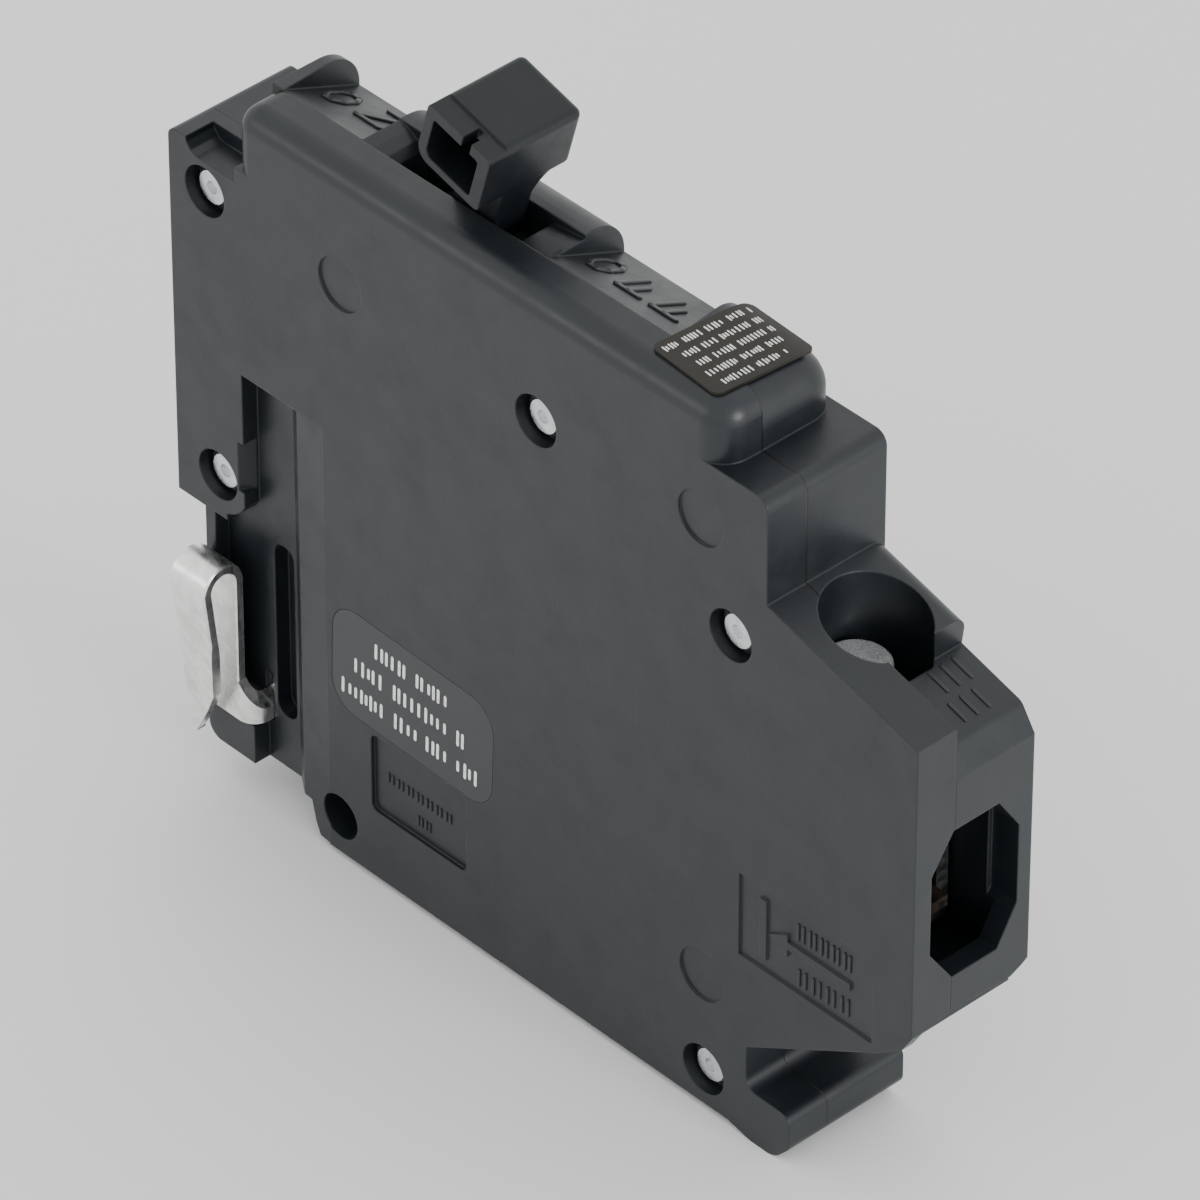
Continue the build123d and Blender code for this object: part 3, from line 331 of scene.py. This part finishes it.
# Surfaces that carry marks, in millimetres as for at(). A fall or climb is for each millimetre along.
# The top label bends round the place that TOP_BEND_DEPTH and TOP_BEND_HEIGHT give.
# Each function takes a place on its surface and a rise above it.
FLOOR_FRONT_DEPTH, FLOOR_FRONT_HEIGHT, FLOOR_FALL = 4.2, 69.8, 0.452
DECK_TOP_X, DECK_TOP_HEIGHT, DECK_FALL = 77.8, 48.9, 0.288
WINDOW_DEPTH = 0.4
GAUGE_DEPTH, GAUGE_ROW_X, GAUGE_ROW_CLIMB = 0.2, 76, 0.05
SIDE_LABEL_X, SIDE_LABEL_HEIGHT, SIDE_LABEL_TURN = 28.3, 20.7, math.radians(-2.0)
TOP_LABEL_X, TOP_LABEL_DEPTH, TOP_LABEL_TURN = 58.5, 6.5, math.radians(4.2)
TOP_BEND_DEPTH, TOP_BEND_HEIGHT, TOP_BEND_RADIUS = 9.2, 61.945, 8.125


def on_floor(x, depth, rise):
    """The ON and OFF floors, which fall from the front edge to the back."""
    return at(x, depth, FLOOR_FRONT_HEIGHT - FLOOR_FALL * (depth - FLOOR_FRONT_DEPTH) + rise)


def on_deck(x, depth, rise):
    """The sloped deck between the hood of the lug screw and the end."""
    return at(x, depth, DECK_TOP_HEIGHT - DECK_FALL * (x - DECK_TOP_X) + rise)


def on_window(x, z, rise):
    """The floor of the mould window in the front face."""
    return at(x, WINDOW_DEPTH - rise, z)


def on_gauge(x, z, rise):
    """The floor of the wire-strip gauge in the front face, whose rows climb a little."""
    return at(x, GAUGE_DEPTH - rise, z + GAUGE_ROW_CLIMB * (x - GAUGE_ROW_X))


def on_side_label(along, up, rise):
    """The label on the front face, which is turned a little."""
    x = SIDE_LABEL_X + along * math.cos(SIDE_LABEL_TURN) - up * math.sin(SIDE_LABEL_TURN)
    z = SIDE_LABEL_HEIGHT + along * math.sin(SIDE_LABEL_TURN) + up * math.cos(SIDE_LABEL_TURN)
    return at(x, -rise, z)


def on_top_label(along, up, rise):
    """The label over the tower: rows run from the front to the back, where it bends down."""
    x = TOP_LABEL_X + along * math.sin(TOP_LABEL_TURN) - up * math.cos(TOP_LABEL_TURN)
    depth = TOP_LABEL_DEPTH + along * math.cos(TOP_LABEL_TURN) + up * math.sin(TOP_LABEL_TURN)
    bend = max(depth - TOP_BEND_DEPTH, 0)
    return at(x, depth, TOP_BEND_HEIGHT + math.sqrt(TOP_BEND_RADIUS ** 2 - bend ** 2) + rise)


# A stroke's flank stands straight from a foot below the surface to a shoulder, a share of its rise.
# Then it slopes in to the crown, a share of its width. The turns place the corners of its ends, in degrees.
STROKE_FOOT = -0.05
STROKE_SHOULDER = 0.6
STROKE_CROWN = 0.72
START_TURNS = (90, 150, 210, 270)
FINISH_TURNS = (270, 330, 30, 90)


def raised_strokes(name, strokes, surface, body, material, width=0.5, rise=0.2):
    """Straight strokes with round ends on a surface, each from one place to another."""
    mesh = bmesh.new()
    half = width / 2
    levels = ((1.0, STROKE_FOOT), (1.0, rise * STROKE_SHOULDER), (STROKE_CROWN, rise))
    for first, last in strokes:
        start, finish = Vector(first), Vector(last)
        along = (finish - start).normalized() * half
        side = Vector((-along.y, along.x))
        ends = [(start, turn) for turn in START_TURNS] + [(finish, turn) for turn in FINISH_TURNS]
        rings = []
        for share, lift in levels:
            outline = []
            for centre, turn in ends:
                angle = math.radians(turn)
                corner = centre + (along * math.cos(angle) + side * math.sin(angle)) * share
                outline.append(mesh.verts.new(surface(corner.x, corner.y, lift)))
            rings.append(outline)
        for lower, upper in zip(rings, rings[1:]):
            for step in range(len(lower)):
                after = (step + 1) % len(lower)
                mesh.faces.new((lower[step], lower[after], upper[after], upper[step]))
        mesh.faces.new(rings[-1])
        mesh.faces.new(list(reversed(rings[0])))
    bmesh.ops.recalc_face_normals(mesh, faces=mesh.faces)
    data = bpy.data.meshes.new(name)
    mesh.to_mesh(data)
    mesh.free()
    marks = bpy.data.objects.new(name, data)
    bpy.context.scene.collection.objects.link(marks)
    settled(marks, name, material, body)


# A letter fills a box: x runs from its top to its foot, and depth from its left side to its right side.
# So it reads with its top towards the line jaw. These are shares of its height and width.
LETTER_CORNER_CUT = 0.28
F_MIDDLE, F_REACH = 0.5, 0.66


def letter_o(top, foot, left, right):
    """Strokes of a round letter with eight straight sides."""
    cut_x = (foot - top) * LETTER_CORNER_CUT
    cut_d = (right - left) * LETTER_CORNER_CUT
    corners = [
        (top, left + cut_d), (top, right - cut_d), (top + cut_x, right), (foot - cut_x, right),
        (foot, right - cut_d), (foot, left + cut_d), (foot - cut_x, left), (top + cut_x, left),
    ]
    return list(zip(corners, corners[1:] + corners[:1]))


def letter_n(top, foot, left, right):
    """Two upright strokes and a slanted one."""
    return [((top, left), (foot, left)), ((top, left), (foot, right)), ((top, right), (foot, right))]


def letter_f(top, foot, left, right):
    """An upright stroke, a full arm at the top and a shorter arm in the middle."""
    middle = top + (foot - top) * F_MIDDLE
    reach = left + (right - left) * F_REACH
    return [((top, left), (foot, left)), ((top, left), (top, right)), ((middle, left), (middle, reach))]


# Sizes of print are shares of a row's height, and the places of a pair's two bars are shares of the pitch.
BAR_REACHES = (0.34, 0.38, 0.38, 0.24)
BAR_PITCHES = (0.32, 0.4, 0.48)
GROUP_GAP = 0.5
FEWEST_IN_GROUP, MOST_IN_GROUP = 4, 9
PAIR_PLACES = (0.18, 0.62)


def bars(rows, height, seed):
    """Upright bars in word-like groups that stand for print, in rows of (start, end, middle)."""
    shuffle = random.Random(seed)
    strokes = []
    for start, end, middle in rows:
        place = start
        left_in_group = shuffle.randint(FEWEST_IN_GROUP, MOST_IN_GROUP)
        while place < end:
            reach = height * shuffle.choice(BAR_REACHES)
            strokes.append(((place, middle - reach), (place, middle + reach)))
            place += height * shuffle.choice(BAR_PITCHES)
            left_in_group -= 1
            if left_in_group == 0:
                place += height * GROUP_GAP
                left_in_group = shuffle.randint(FEWEST_IN_GROUP, MOST_IN_GROUP)
    return strokes


def pairs(start, end, count, middle, height):
    """Moulded characters reduced to pairs of upright bars, evenly spaced from start to end."""
    pitch = (end - start) / count
    strokes = []
    for step in range(count):
        for offset in PAIR_PLACES:
            place = start + (step + offset) * pitch
            strokes.append(((place, middle - height / 2), (place, middle + height / 2)))
    return strokes


raised_strokes(
    "mark_on",
    letter_o(10.15, 12.15, 7.3, 10.3) + letter_n(14.0, 16.8, 7.7, 11.3),
    on_floor, "case", "marks",
)
raised_strokes(
    "mark_off",
    letter_o(41.0, 43.0, 7.2, 10.2) + letter_f(45.0, 47.6, 6.9, 10.4) + letter_f(48.9, 51.7, 6.9, 10.4),
    on_floor, "case", "marks",
)
raised_strokes(
    "mark_deck",
    [((78.6, depth), (80.6, depth)) for depth in (8.4, 9.7, 11.0)]
    + [((81.6, depth), (83.4, depth)) for depth in (7.6, 8.9, 10.2)],
    on_deck, "case", "marks", width=0.34, rise=0.12,
)
raised_strokes(
    "mark_gauge",
    pairs(72.8, 79.3, count=5, middle=24.15, height=1.5)
    + pairs(72.9, 79.3, count=4, middle=19.6, height=1.5),
    on_gauge, "case", "marks", width=0.3, rise=0.14,
)
raised_strokes(
    "mark_window",
    pairs(24.7, 32.8, count=7, middle=11.0, height=0.8)
    + pairs(28.3, 30.2, count=2, middle=8.6, height=0.8),
    on_window, "case", "marks", width=0.24, rise=0.12,
)
TOP_ROWS = [(-4.3, 4.3, 3.0), (-3.6, 4.2, 1.5), (-3.4, 4.1, 0.0), (-3.7, 3.9, -1.5), (-3.4, 2.9, -3.0)]
raised_strokes(
    "print_top", bars(TOP_ROWS, height=0.82, seed=4),
    on_top_label, "case", "ink", width=0.15, rise=0.02,
)
SIDE_ROWS = [(-4.4, 4.4, 2.9), (-6.8, 6.5, 0.0), (-8.3, 8.1, -2.9)]
raised_strokes(
    "print_side", bars(SIDE_ROWS, height=1.75, seed=7),
    on_side_label, "case", "white_ink", width=0.31, rise=0.02,
)


# ---- floor, light and camera ----
FLOOR_GAP = 0.02 * MM
FLOOR_SIZE = 6
LIGHT_SIZE = 0.30
MIDDLE = (0, 0, 0.035)
WORLD_STRENGTH = 1.4
CAMERA_PLACE = (0.47905, -0.44795, 0.5509)
VIEW_DIRECTION = (-0.5743, 0.5379, -0.6171)
SENSOR_MM = 36
LENS_MM = 314.76


def stage_floor():
    """A plain pale floor just under the object."""
    shader = Shader("pale_floor", roughness=0.75)
    cloud = shader.noise(3, detail=3)
    shader.finish(shader.ramp(cloud, (0.4, (0.79, 0.79, 0.79)), (0.6, (0.81, 0.81, 0.81))))
    bpy.ops.mesh.primitive_plane_add(size=FLOOR_SIZE, location=(0, 0, cad_box[0][2] - FLOOR_GAP))
    floor = bpy.context.object
    floor.name = "floor"
    floor.data.materials.append(shader.material)


def soft_light(name, place, watts):
    """A round soft light that faces the middle of the object."""
    light = bpy.data.lights.new(name, "AREA")
    light.shape = "DISK"
    light.size = LIGHT_SIZE
    light.energy = watts
    holder = bpy.data.objects.new(name, light)
    holder.location = place
    holder.rotation_euler = (Vector(MIDDLE) - Vector(place)).to_track_quat("-Z", "Y").to_euler()
    bpy.context.scene.collection.objects.link(holder)


def studio():
    """Even white light from all round, a weak key light in front and a stronger one at the lug end."""
    world = bpy.data.worlds.new("studio")
    bpy.context.scene.world = world
    world.use_nodes = True
    world.node_tree.nodes["Background"].inputs["Color"].default_value = (1, 1, 1, 1)
    world.node_tree.nodes["Background"].inputs["Strength"].default_value = WORLD_STRENGTH
    soft_light("key", place=(-0.45, -0.75, 0.30), watts=0.7)
    soft_light("side", place=(0.75, 0.05, 0.22), watts=3.5)


def place_camera():
    """A long lens at the angle from which the breaker is usually shown: high, over the lug end."""
    data = bpy.data.cameras.new("camera")
    data.sensor_width = SENSOR_MM
    data.lens = LENS_MM
    data.clip_start = 0.05
    data.clip_end = 20
    camera = bpy.data.objects.new("camera", data)
    camera.location = CAMERA_PLACE
    camera.rotation_euler = Vector(VIEW_DIRECTION).normalized().to_track_quat("-Z", "Y").to_euler()
    bpy.context.scene.collection.objects.link(camera)
    bpy.context.scene.camera = camera


stage_floor()
studio()
place_camera()
